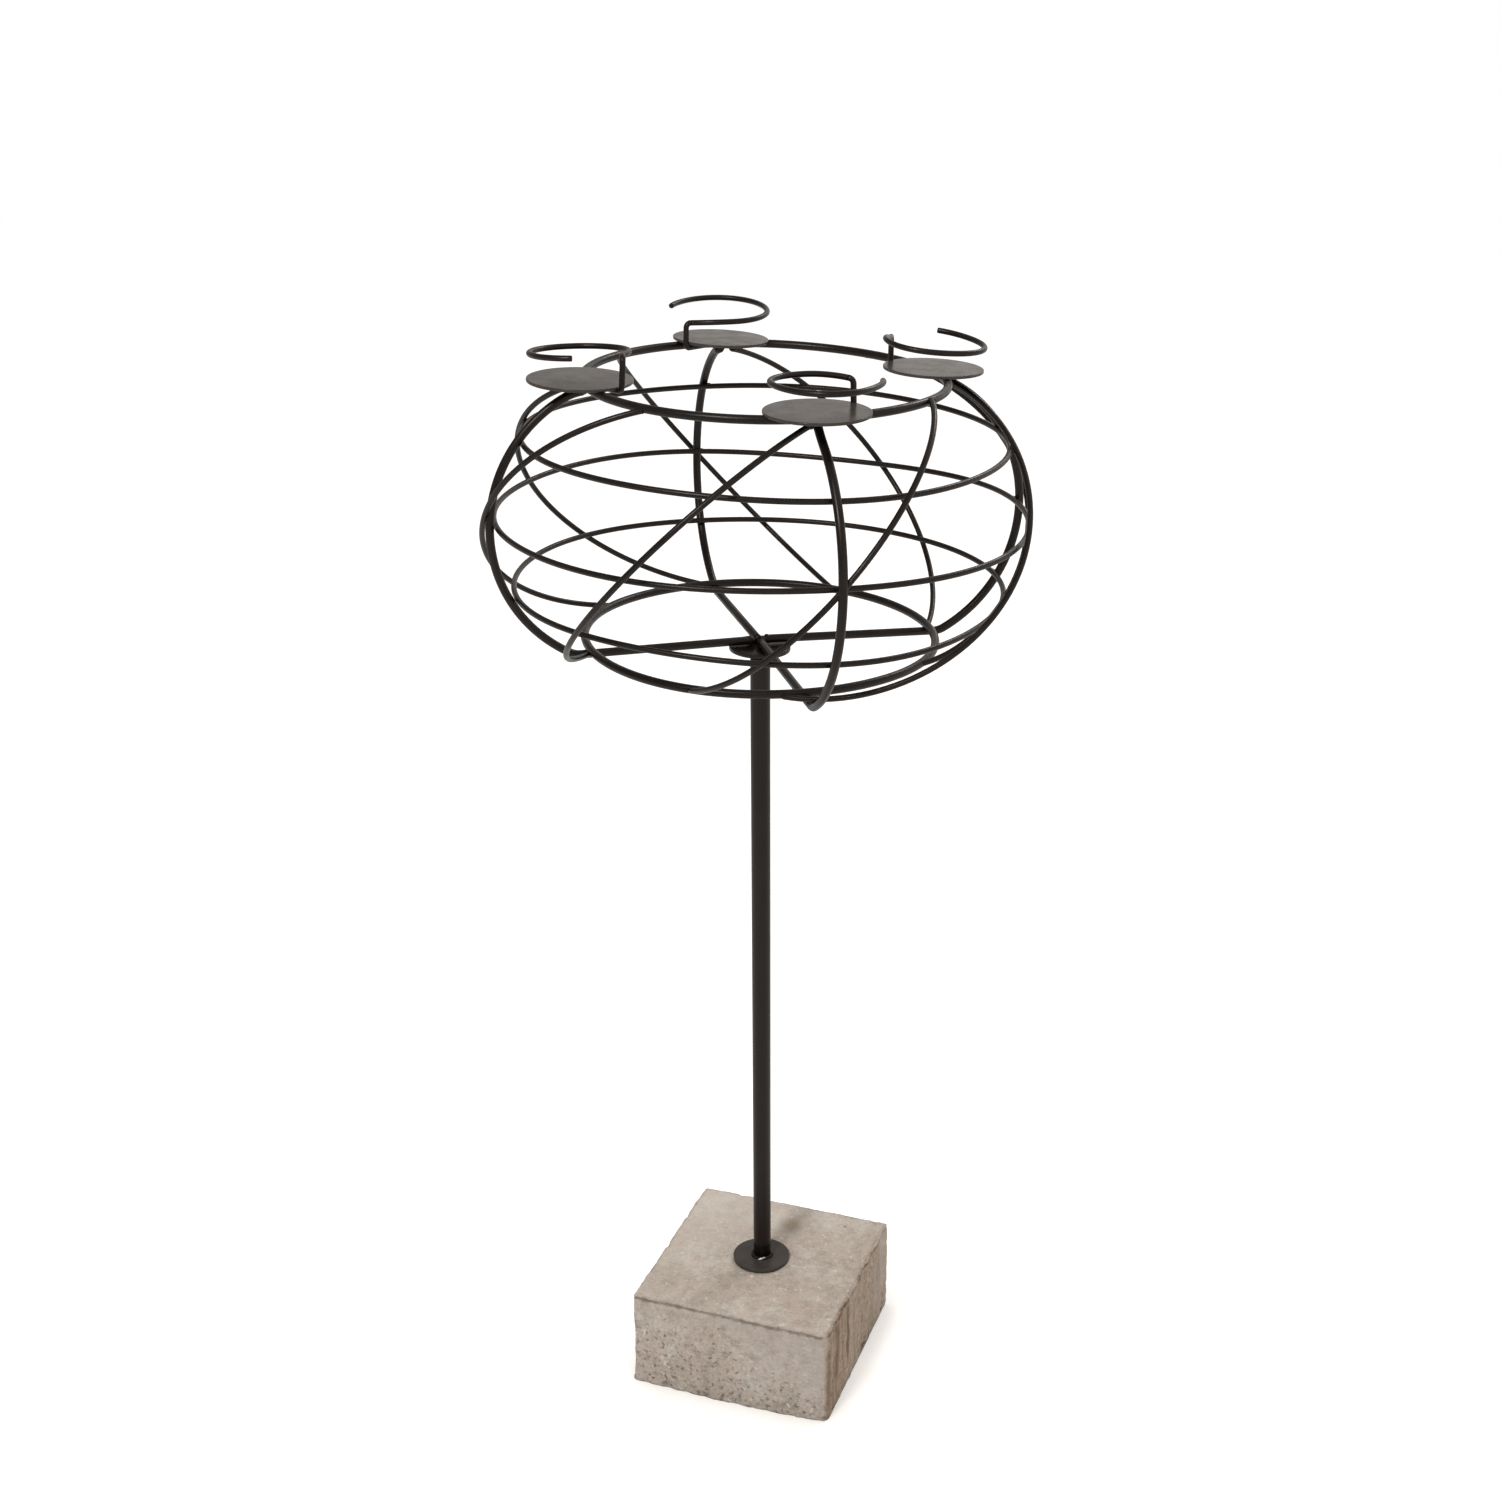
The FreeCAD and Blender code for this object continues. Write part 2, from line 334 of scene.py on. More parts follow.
def coat_material(name, low, high, gloss, index, warmth, lumpy):
    # Satin black coat: faint cloudiness, orange peel, a warm cast.
    made, tree, shader, where = new_material(name)
    cloud = add_noise(tree, where, 55.0, 5.0)
    grain = add_noise(tree, where, 700.0, 3.0)
    both = add_mix(tree, "MIX", 0.35, cloud, grain)
    colour = add_ramp(tree, both, [(0.35, low), (0.68, high)])
    tree.links.new(colour, shader.inputs["Base Color"])
    tree.links.new(add_range(tree, cloud, 0.3, 0.7, gloss - 0.06, gloss + 0.08),
                   shader.inputs["Roughness"])
    shader.inputs["IOR"].default_value = index
    shader.inputs["Specular Tint"].default_value = (*warmth, 1)
    peel = add_bump(tree, grain, 0.5 * lumpy, 0.0002)
    lumps = add_bump(tree, add_noise(tree, where, 160.0, 2.0), lumpy, 0.0004, peel)
    tree.links.new(lumps, shader.inputs["Normal"])
    return made


# Where each side of the block begins to count as a side, in metres
front_band = (-0.0960, -0.0985)
right_band = (0.0965, 0.0995)
left_band = (-0.0965, -0.0995)
back_band = (0.0950, 0.0980)


def concrete_material():
    made, tree, shader, where = new_material("weathered_concrete")
    parts = tree.nodes.new("ShaderNodeSeparateXYZ")
    tree.links.new(where, parts.inputs["Vector"])
    x, y, z = parts.outputs
    at_front = add_range(tree, y, *front_band, 0.0, 1.0)
    at_right = add_range(tree, x, *right_band, 0.0, 1.0)
    at_side = add_sum(tree, "MAXIMUM", at_front, at_right)
    at_side = add_sum(tree, "MAXIMUM", at_side, add_range(tree, x, *left_band, 0.0, 1.0))
    at_side = add_sum(tree, "MAXIMUM", at_side, add_range(tree, y, *back_band, 0.0, 1.0))

    # Cement: pale and even, with rosy and grey clouds, rougher on the sides
    broad = add_noise(tree, where, 14.0, 5.0, 0.55)
    patches = add_noise(tree, where, 46.0, 6.0, 0.60)
    blotches = add_noise(tree, where, 115.0, 5.0, 0.65)
    sand = add_noise(tree, where, 330.0, 4.0, 0.65)
    tone = add_ramp(tree, broad, [(0.34, (0.480, 0.405, 0.335)), (0.50, (0.550, 0.472, 0.398)),
                                  (0.66, (0.620, 0.550, 0.478))])
    rosy = add_ramp(tree, patches, [(0.44, 0.0), (0.60, 0.65)])
    tone = add_mix(tree, "MIX", rosy, tone, (0.530, 0.425, 0.355))
    browner = add_mix(tree, "MULTIPLY", 1.0, tone, (0.93, 0.87, 0.80))
    tone = add_mix(tree, "MIX", at_right, tone, browner)
    greyer = add_mix(tree, "MULTIPLY", 1.0, tone, (0.97, 0.975, 0.99))
    tone = add_mix(tree, "MIX", at_front, tone, greyer)
    cloudy = add_ramp(tree, blotches, [(0.36, 0.83), (0.50, 0.98), (0.62, 1.06)])
    patchy = add_ramp(tree, blotches, [(0.34, 0.73), (0.47, 0.94), (0.62, 1.04)])
    tone = add_mix(tree, "MULTIPLY", 1.0, tone, add_mix(tree, "MIX", at_side, cloudy, patchy))
    fine = add_ramp(tree, sand, [(0.34, 0.84), (0.50, 0.98), (0.66, 1.05)])
    coarse = add_ramp(tree, sand, [(0.34, 0.74), (0.47, 0.94), (0.66, 1.06)])
    tone = add_mix(tree, "MULTIPLY", 1.0, tone, add_mix(tree, "MIX", at_side, fine, coarse))
    # Darker towards the bottom of the sides
    darker_at_foot = add_range(tree, z, 0.0, 0.035, 0.86, 1.0)
    tone = add_mix(tree, "MULTIPLY", 1.0, tone, darker_at_foot)

    # Pale grit, everywhere but sparse
    grit = add_noise(tree, where, 185.0, 1.0, 0.4)
    pale = add_ramp(tree, grit, [(0.68, 0.0), (0.74, 0.65)])
    tone = add_mix(tree, "MIX", pale, tone, (0.700, 0.645, 0.570))

    # Pits: many on the sides and most near the ground, few on the top
    holes = add_noise(tree, where, 210.0, 2.0, 0.5)
    low = add_range(tree, z, 0.095, 0.010, 0.325, 0.40)
    upper_right = add_sum(tree, "ADD", z, add_sum(tree, "MULTIPLY", x, 0.35))
    cloud = add_sum(tree, "MULTIPLY", add_sum(tree, "SUBTRACT", broad, 0.5), 0.20)
    upper_right = add_sum(tree, "ADD", upper_right, cloud)
    smooth = add_range(tree, upper_right, 0.045, 0.090, 1.0, 0.25)
    pit = add_range(tree, add_sum(tree, "SUBTRACT", holes, low), 0.03, -0.06, 0.0, 0.70)
    pit = add_sum(tree, "MULTIPLY", pit, smooth)
    trowelled = add_range(tree, upper_right, 0.055, 0.100, 0.0, 0.50)
    trowelled = add_sum(tree, "MULTIPLY", trowelled, at_front)
    tone = add_mix(tree, "MIX", trowelled, tone, (0.455, 0.398, 0.358))
    pit = add_sum(tree, "MULTIPLY", pit, add_range(tree, at_side, 0.0, 1.0, 0.30, 1.0))
    tone = add_mix(tree, "MIX", pit, tone, (0.165, 0.120, 0.092))

    # Casting seam just under the top edges
    seam = add_sum(tree, "ABSOLUTE", add_sum(tree, "SUBTRACT", z, seam_height * mm), 0.0)
    wander = add_sum(tree, "MULTIPLY", add_sum(tree, "SUBTRACT", blotches, 0.5), 0.006)
    seam = add_range(tree, add_sum(tree, "ADD", seam, wander), 0.0006, 0.0024, 0.85, 0.0)
    broken = add_range(tree, patches, 0.36, 0.52, 0.35, 0.90)
    seam = add_sum(tree, "MULTIPLY", add_sum(tree, "MULTIPLY", seam, broken), at_side)
    tone = add_mix(tree, "MIX", seam, tone, (0.165, 0.122, 0.092))

    # Upright scores down the right side, worst by the front edge
    scores = add_noise(tree, where, 78.0, 4.0, 0.6, (1.0, 1.0, 0.13))
    near_front = add_range(tree, y, -0.005, -0.060, 0.37, 0.43)
    score = add_range(tree, add_sum(tree, "SUBTRACT", scores, near_front), 0.03, -0.06, 0.0, 0.80)
    score = add_sum(tree, "MULTIPLY", score, at_right)
    tone = add_mix(tree, "MIX", score, tone, (0.190, 0.138, 0.100))

    sway = add_sum(tree, "MULTIPLY", add_sum(tree, "SUBTRACT", patches, 0.5), 0.012)
    along = add_sum(tree, "ADD", y, sway)
    for spot_y, width, strength, lowest, highest in grooves:
        gap = add_sum(tree, "ABSOLUTE", add_sum(tree, "SUBTRACT", along, spot_y * mm), 0.0)
        groove = add_range(tree, gap, width * mm * 0.3, width * mm * 1.2, strength, 0.0)
        for start, stop in ((lowest - 8, lowest + 8), (highest + 5, highest - 5)):
            reach = add_range(tree, z, start * mm, stop * mm, 0.0, 1.0)
            groove = add_sum(tree, "MULTIPLY", groove, reach)
        groove = add_sum(tree, "MULTIPLY", groove, at_right)
        tone = add_mix(tree, "MIX", groove, tone, (0.215, 0.150, 0.108))
    scraped = add_sum(tree, "MULTIPLY", add_range(tree, y, -0.032, -0.050, 0.0, 0.55), at_right)
    browned = add_mix(tree, "MULTIPLY", 1.0, tone, (0.76, 0.65, 0.55))
    tone = add_mix(tree, "MIX", scraped, tone, browned)
    far_end = add_sum(tree, "MULTIPLY", add_range(tree, y, 0.045, 0.080, 0.0, 0.50), at_right)
    tone = add_mix(tree, "MIX", far_end, tone, (0.600, 0.525, 0.455))

    # Palest at the back left of the top
    bleached = add_range(tree, add_sum(tree, "SUBTRACT", y, x), 0.0, 0.16, 0.0, 0.55)
    bleached = add_sum(tree, "MULTIPLY", bleached, add_range(tree, at_side, 0.0, 1.0, 1.0, 0.0))
    tone = add_mix(tree, "MIX", bleached, tone, (0.690, 0.610, 0.535))

    # Marks on the top: stains, painted shadow of the pole, dark pits and pale stones
    for spot_x, spot_y, size, strength, mark_colour in stains_and_painted_shadows:
        centre = (spot_x * mm, spot_y * mm, block_height * mm)
        gap = add_gap(tree, where, centre)
        wobble = add_sum(tree, "MULTIPLY", patches, size * mm * 0.9)
        gap = add_sum(tree, "ADD", gap, wobble)
        mark = add_range(tree, gap, size * mm * 0.8, size * mm * 1.5, strength, 0.0)
        tone = add_mix(tree, "MIX", mark, tone, mark_colour)
    tree.links.new(tone, shader.inputs["Base Color"])
    shader.inputs["Roughness"].default_value = 0.93
    shader.inputs["Specular IOR Level"].default_value = 0.25
    rough = add_bump(tree, sand, 0.42, 0.0020)
    uneven = add_bump(tree, patches, 0.40, 0.0050, rough)
    sunk = add_bump(tree, add_sum(tree, "SUBTRACT", 1.0, pit), 0.7, 0.0014, uneven)
    scored = add_bump(tree, add_sum(tree, "MULTIPLY", scores, at_right), 0.6, 0.0060, sunk)
    tree.links.new(scored, shader.inputs["Normal"])
    return made


def zinc_material():
    made, tree, shader, where = new_material("dull_zinc")
    cloud = add_noise(tree, where, 90.0, 4.0)
    tree.links.new(add_ramp(tree, cloud, [(0.35, (0.44, 0.45, 0.46)), (0.7, (0.62, 0.63, 0.64))]),
                   shader.inputs["Base Color"])
    shader.inputs["Metallic"].default_value = 1.0
    tree.links.new(add_range(tree, cloud, 0.3, 0.7, 0.38, 0.55), shader.inputs["Roughness"])
    return made


coat = coat_material("satin_black_coat", (0.0045, 0.0032, 0.0027), (0.0095, 0.0070, 0.0060),
                     0.33, 1.36, (1.0, 0.90, 0.85), 0.04)
# Plates and flange: a paler copy of the black coat, its raised base colour painting part of their
# sheen
disc_coat_painted_sheen = coat_material("disc_black_coat_painted_sheen", (0.0400, 0.0335, 0.0290), (0.0600, 0.0515, 0.0455),
                          0.26, 1.34, (1.0, 0.93, 0.88), 0.05)
bead_coat = coat_material("bead_black_coat", (0.0045, 0.0032, 0.0027), (0.0110, 0.0085, 0.0075),
                          0.40, 1.32, (1.0, 0.88, 0.82), 0.60)
concrete = concrete_material()
zinc = zinc_material()


# Making pieces
def finish_piece(name, bm, coating, replaced=()):
    mesh = bpy.data.meshes.new(name)
    bm.normal_update()
    bm.to_mesh(mesh)
    bm.free()
    for polygon in mesh.polygons:
        polygon.use_smooth = True
    mesh.materials.append(coating)
    piece = bpy.data.objects.new(name, mesh)
    bpy.context.collection.objects.link(piece)
    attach(piece, "root")
    if replaced:
        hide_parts(*replaced)
    return piece


def bridge(bm, low, high):
    # A band of faces between two closed rows of corners.
    count = len(low)
    for step in range(count):
        after = (step + 1) % count
        bm.faces.new((low[step], low[after], high[after], high[step]))


def tube(bm, path, radius, closed=False, around=20):
    # A round rod along a path, with softened ends.
    count = len(path)
    rows = []
    side = None
    for index, point in enumerate(path):
        before = path[index - 1] if index or closed else point
        after = path[(index + 1) % count] if index < count - 1 or closed else point
        ahead = (after - before).normalized()
        if side is None:
            side = ahead.orthogonal().normalized()
        side = (side - ahead * side.dot(ahead)).normalized()
        other = ahead.cross(side)
        steps = [(0.0, 1.0)]
        if not closed and index == 0:
            steps = rod_end
        if not closed and index == count - 1:
            steps = [(-shift, share) for shift, share in reversed(rod_end)]
        for shift, share in steps:
            middle = point + ahead * shift * radius * 2
            rows.append([bm.verts.new(middle + (side * cos(turn) + other * sin(turn))
                                      * radius * share)
                         for turn in (2 * pi * step / around for step in range(around))])
    for low, high in zip(rows, rows[1:]):
        bridge(bm, low, high)
    if closed:
        # The last row meets the first one turned to its nearest corner.
        start = min(range(around), key=lambda k: (rows[0][k].co - rows[-1][0].co).length)
        bridge(bm, rows[-1], rows[0][start:] + rows[0][:start])
    else:
        bm.faces.new(list(reversed(rows[0])))
        bm.faces.new(rows[-1])


def circle_through(start, middle, end, step=2.5):
    # Points on the arc from start past middle to end.
    a, b = middle - start, end - start
    normal = a.cross(b)
    centre = start + (normal.cross(a) * b.length_squared
                      + b.cross(normal) * a.length_squared) / (2 * normal.length_squared)
    first = start - centre
    across = normal.normalized().cross(first)
    last = end - centre
    sweep = atan2(last.dot(across), last.dot(first)) % (2 * pi)
    steps = max(2, int(degrees(sweep) / step) + 1)
    return [centre + first * cos(sweep * k / steps) + across * sin(sweep * k / steps)
            for k in range(steps + 1)]


def waved(waves, turn):
    return sum(a * cos(count * turn) + b * sin(count * turn) for count, a, b in waves)


def loop_path(radius, height, middle, tilt, waves, lifts):
    points = []
    for step in range(loop_points):
        azimuth = 360 / loop_points * step
        turn = radians(azimuth)
        lift = tilt[0] * cos(turn) + tilt[1] * sin(turn) + waved(lifts, turn)
        points.append(place(radius + waved(waves, turn), azimuth, height + lift)
                      + Vector((*middle, 0)))
    return points


def rib_path(azimuth, arc_radius, arc_reach, arc_height, hub_height, strut_height, hub_side):
    rise = strut_height + rib_bend_radius - arc_height
    reach = sqrt((arc_radius - rib_bend_radius) ** 2 - rise ** 2)
    foot_angle = degrees(atan2(rise, reach))
    top_angle = degrees(acos((rib_end_reach - arc_reach) / arc_radius)) - rib_lead_angle

    def turned(centre_reach, centre_height, radius, angle):
        return place(centre_reach + radius * cos(radians(angle)), azimuth,
                     centre_height + radius * sin(radians(angle)))

    bend = [turned(arc_reach + reach, strut_height + rib_bend_radius, rib_bend_radius, angle)
            for angle in (-90, (foot_angle - 90) / 2, foot_angle)]
    sweep = [turned(arc_reach, arc_height, arc_radius, angle)
             for angle in (foot_angle, (foot_angle + top_angle) / 2, top_angle)]
    hub_end = (place(rib_foot_reach, azimuth, hub_height)
               + place(hub_side, azimuth + 90, 0))
    end = place(rib_end_reach, azimuth, rib_end_height)
    arc = circle_through(*sweep)
    # The last stretch eases from the arc to the underside of the top ring.
    lead = arc[-1] + (arc[-1] - arc[-2]).normalized() * (end - arc[-1]).length / 2
    ease = [arc[-1].lerp(lead, k / ease_steps).lerp(lead.lerp(end, k / ease_steps), k / ease_steps)
            for k in range(1, ease_steps + 1)]
    return [hub_end, hub_end.lerp(bend[0], 0.5)] + circle_through(*bend) + arc[1:] + ease


def slant_path(start, turn, lag, middle, top, foot, sway=(0.0, 0.0)):
    arc = circle_through(place(top[0], start, top[1]),
                         place(middle[0], start - turn / 2 + lag, middle[1]),
                         place(foot[0], start - turn, foot[1]))
    points = []
    for k, point in enumerate(arc):
        bow = sin(2 * pi * k / (len(arc) - 1))
        azimuth = degrees(atan2(point.y, point.x)) + sway[0] * bow
        points.append(place(point.xy.length + sway[1] * bow, azimuth, point.z))
    return points


rod_paths = {name: loop_path(*layout) for name, layout in rings.items()}
rod_paths.update({"rib_" + name: rib_path(*layout) for name, layout in ribs.items()})
wire_paths = {name: loop_path(*layout) for name, layout in hoops.items()}
wire_paths.update({"slanting_wire_" + str(number): slant_path(*layout)
                   for number, layout in enumerate(slanting_wires, 1)})


def rod_piece(name, pose, path, radius):
    bm = bmesh.new()
    closed = name in rings or name in hoops
    tube(bm, [pose @ point for point in path], radius * mm, closed)
    return finish_piece(name + "_rod", bm, coat, (name,))


for name, path in rod_paths.items():
    rod_piece(name, basket_pose, path, rod_radius)
for name, path in wire_paths.items():
    rod_piece(name, basket_pose, path, wire_radius)


# Candle holders
def bend_path(before, corner, after):
    back = (before - corner).normalized()
    ahead = (after - corner).normalized()
    half = back.angle(ahead) / 2
    inset = holder_bend_radius / tan(half)
    centre = corner + (back + ahead).normalized() * (holder_bend_radius / sin(half))
    middle = centre + (corner - centre).normalized() * holder_bend_radius
    return circle_through(corner + back * inset, middle, corner + ahead * inset, 12.0)


def holder_path(rise, leg_turn, leg_reach, lean, radius, height, middle, tilt, end, drop, waves):
    slope = tan(radians(tilt[0])), tan(radians(tilt[1]))
    first = leg_turn + lead_in
    last = end + 360

    def on_ring(angle):
        turn = radians(angle)
        flat = place(radius + waved(waves, turn), angle, height)
        lift = slope[0] * flat.x + slope[1] * flat.y
        lift -= drop * max(0.0, 1 - (angle - first) / drop_turn) ** 2
        return flat + Vector((*middle, lift))

    foot = place(leg_reach - foot_length, leg_turn, rise - wire_radius)
    elbow = place(leg_reach, leg_turn, rise - wire_radius)
    lead = on_ring(first)
    shoulder = place(leg_reach, leg_turn, lead.z) + Vector((*lean, 0))
    steps = int((last - first) / ring_step)
    opening = [on_ring(first + (last - first) * k / steps) for k in range(steps + 1)]
    return [foot] + bend_path(foot, elbow, shoulder) + bend_path(elbow, shoulder, lead) + opening


for name, pose in seat_poses.items():
    rod_piece("candle_holder_" + name, pose, holder_path(foot_rise[name], *holders[name]),
              wire_radius)


# Round discs with softened edges, and the pole
def round_bar(bm, pose, outline, around=96):
    # A turned shape from (radius, height) pairs, closed at both ends.
    rows = [[bm.verts.new(pose @ place(reach, 360 * step / around, height))
             for step in range(around)] for reach, height in outline]
    for low, high in zip(rows, rows[1:]):
        bridge(bm, low, high)
    bm.faces.new(list(reversed(rows[0])))
    bm.faces.new(rows[-1])


def disc_piece(name, pose, radius, thickness, coating):
    edge = plate_edge
    bm = bmesh.new()
    round_bar(bm, pose, [(radius - 3 * edge, 0), (radius - edge, 0),
                         (radius - edge * 0.3, edge * 0.3), (radius, edge),
                         (radius, thickness - edge),
                         (radius - edge * 0.3, thickness - edge * 0.3),
                         (radius - edge, thickness), (radius - 3 * edge, thickness)])
    return finish_piece(name + "_disc", bm, coating, (name,))


for name, (radius, shift, tilt) in plates.items():
    pose = (seat_poses[name] @ Matrix.Translation(shift)
            @ Matrix.Rotation(radians(tilt[1]), 4, "Y") @ Matrix.Rotation(radians(tilt[0]), 4, "X"))
    disc_piece("candle_plate_" + name, pose @ Matrix.Translation(-up * plate_sag), radius,
               plate_thickness + plate_sag, disc_coat_painted_sheen)


def seen_from_camera(sideways, depth, height):
    # A place given to the right of the stand, beyond it, and above the floor.
    return Matrix.Rotation(radians(camera_heading), 3, "Z") @ Vector((sideways, depth, height))


hub_place = seen_from_camera(*hub_shift) * mm
disc_piece("hub_disc", Matrix.Translation(hub_place) @ basket_pose
           @ Matrix.Translation(-up * disc_thickness), disc_diameter / 2, disc_thickness, coat)
pole_start = pole_foot + seen_from_camera(*pole_foot_shift) * mm
pole_end = pole_top + seen_from_camera(*pole_top_shift) * mm
flange_place = up * flange_low.z + seen_from_camera(*flange_shift) * mm
flange_tip = Matrix.Rotation(radians(-flange_lean), 4, seen_from_camera(1, 0, 0))
disc_piece("base_flange", Matrix.Translation(flange_place) @ flange_tip @ Matrix.Scale(mm, 4),
           flange_diameter / 2, disc_thickness, disc_coat_painted_sheen)


def pole_piece():
    bm = bmesh.new()
    rows = []
    for k in range(pole_steps + 1):
        point = pole_start.lerp(pole_end, k / pole_steps)
        diameter = pole_foot_diameter + (pole_top_diameter - pole_foot_diameter) * k / pole_steps
        rows.append([bm.verts.new(point + place(diameter * mm / 2, 360 / pole_sides * step, 0))
                     for step in range(pole_sides)])
    for low, high in zip(rows, rows[1:]):
        bridge(bm, low, high)
    bm.faces.new(list(reversed(rows[0])))
    bm.faces.new(rows[-1])
    return finish_piece("pole_tube", bm, coat, ("pole",))


pole_piece()


# Welds
def weld_ring(name, pose, inner):
    # A hand-laid bead round the pole: uneven ripples on a full fillet.
    bm = bmesh.new()
    around, across = 144, 9
    rows = []
    for step in range(around):
        azimuth = 360 * step / around
        ripple = (1 + 0.10 * sin(radians(azimuth * bead_ripples))
                  + 0.25 * noise.noise(place(2.2, azimuth, 3.0)))
        leg = bead_leg * ripple
        row = []
        for k in range(across):
            turn = radians(90 * k / (across - 1))
            bulge = 0.80 + 0.10 * sin(2 * turn)
            reach = inner - bead_overlap + (leg + bead_overlap) * bulge * cos(turn) ** 0.9
            row.append(bm.verts.new(pose @ place(reach, azimuth, leg * bulge * sin(turn) ** 0.9)))
        rows.append(row)
    for low, high in zip(rows, rows[1:] + rows[:1]):
        bridge(bm, low, high)
    return finish_piece(name + "_bead", bm, bead_coat, (name,))


weld_ring("pole_foot_weld", Matrix.Translation(pole_start) @ Matrix.Scale(mm, 4),
          pole_foot_diameter / 2)
weld_ring("hub_weld", basket_pose @ Matrix.Translation(-up * disc_thickness)
          @ Matrix.Rotation(pi, 4, "X"), pole_top_diameter / 2)


def blob(bm, centre, along, length, width, seed, pose=basket_pose):
    # A small uneven lump of weld, longest along one direction.
    ball = bmesh.new()
    bmesh.ops.create_icosphere(ball, subdivisions=3, radius=1.0)
    turn = along.to_track_quat("Z", "Y").to_matrix()
    shift = Vector((seed * 3.1, seed * 1.7, seed * 0.9))
    table = {}
    for vertex in ball.verts:
        swell = 1 + 0.22 * noise.noise(vertex.co * 1.6 + shift)
        local = Vector((vertex.co.x * width, vertex.co.y * width, vertex.co.z * length)) * swell
        table[vertex] = bm.verts.new(pose @ (centre + turn @ local))
    for face in ball.faces:
        bm.faces.new([table[vertex] for vertex in face.verts])
    ball.free()


def nearest_places(first, second):
    # Where two paths come closest, and the direction of the second one there.
    tree = KDTree(len(second))
    for index, point in enumerate(second):
        tree.insert(point, index)
    tree.balance()
    found = min((tree.find(point) + (point,) for point in first), key=lambda item: item[2])
    there, index, gap, here = found
    along = (second[(index + 1) % len(second)] - second[index - 1]).normalized()
    return here, there, gap, along


def crossing_welds(bm, first, first_radius, second, second_radius, seed):
    # Two tacks in the corners where the second rod passes the first.
    here, there, gap, along = nearest_places(first, second)
    if gap > first_radius + second_radius + weld_reach:
        return
    middle = here.lerp(there, first_radius / (first_radius + second_radius))
    for side in (-1, 1):
        blob(bm, middle + along * side * first_radius * 0.72, along,
             second_radius * 1.15, second_radius * 0.72, seed + side * 0.3)


def weld_group(name, pairs):
    bm = bmesh.new()
    for seed, (first, first_radius, second, second_radius) in enumerate(pairs, 1):
        crossing_welds(bm, first, first_radius, second, second_radius, seed)
    return finish_piece(name, bm, bead_coat)


rib_paths = [path for name, path in rod_paths.items() if name.startswith("rib")]
hoop_paths = [wire_paths[name] for name in hoops]
slant_paths = [path for name, path in wire_paths.items() if name.startswith("slanting")]
weld_group("hoop_welds", [(rib, rod_radius, hoop, wire_radius)
                          for rib in rib_paths for hoop in hoop_paths])
weld_group("slanting_wire_welds",
           [(hoop, wire_radius, wire, wire_radius) for hoop in hoop_paths for wire in slant_paths]
           + [(rib, rod_radius, wire, wire_radius) for rib in rib_paths for wire in slant_paths])
weld_group("strut_welds", [(rib, rod_radius, rod_paths["bottom_ring"], rod_radius)
                           for rib in rib_paths])

def painted_highlight_spot():
    # A shiny zinc lump at the front of the pole's foot, put there as a painted highlight on the
    # weld bead.
    bm = bmesh.new()
    blob(bm, seen_from_camera(-0.8, -pole_foot_diameter / 2 - 1.7, 1.6),
         seen_from_camera(1.0, 0.25, 0.2), 4.0, 1.4, 9,
         Matrix.Translation(pole_start) @ Matrix.Scale(mm, 4))
    return finish_piece("weld_bare_spot", bm, zinc, ())


def end_welds():
    # Lumps at the ends of wires and ribs, under the plates and at the holders.
    bm = bmesh.new()
    for seed, path in enumerate(slant_paths, 1):
        for end, inner in ((path[0], path[1]), (path[-1], path[-2])):
            size = 1.0 if end is path[0] else 0.8
            blob(bm, end, (end - inner).cross(up), rod_radius * size,
                 wire_radius * 1.05 * size, seed)
    for seed, path in enumerate(rib_paths, 20):
        side = (path[-1] - path[-2]).cross(up)
        blob(bm, path[-1] + up * 0.5, side, rod_radius * 1.3, rod_radius * 0.95, seed)
        blob(bm, path[0], path[1] - path[0], rod_radius * 1.3, rod_radius * 1.1, seed + 5)
    for seed, (name, pose) in enumerate(seat_poses.items(), 40):
        to_basket = basket_pose.inverted() @ pose
        turn = stations[name] + plate_turn[name]
        for side in (-1, 1):
            blob(bm, place(rings["top_ring"][0], turn + side * 7.0, plate_base - 1.2),
                 place(1, turn + 90, 0), rod_radius * 0.9, rod_radius * 0.35, seed)
        leg_turn, leg_reach = holders[name][:2]
        foot = place(leg_reach - 8, leg_turn, -1.0)
        blob(bm, to_basket @ foot, to_basket.to_3x3() @ foot, wire_radius * 2.2,
             wire_radius * 1.05, seed + 5)
    return finish_piece("end_welds", bm, bead_coat)


painted_highlight_spot()
end_welds()


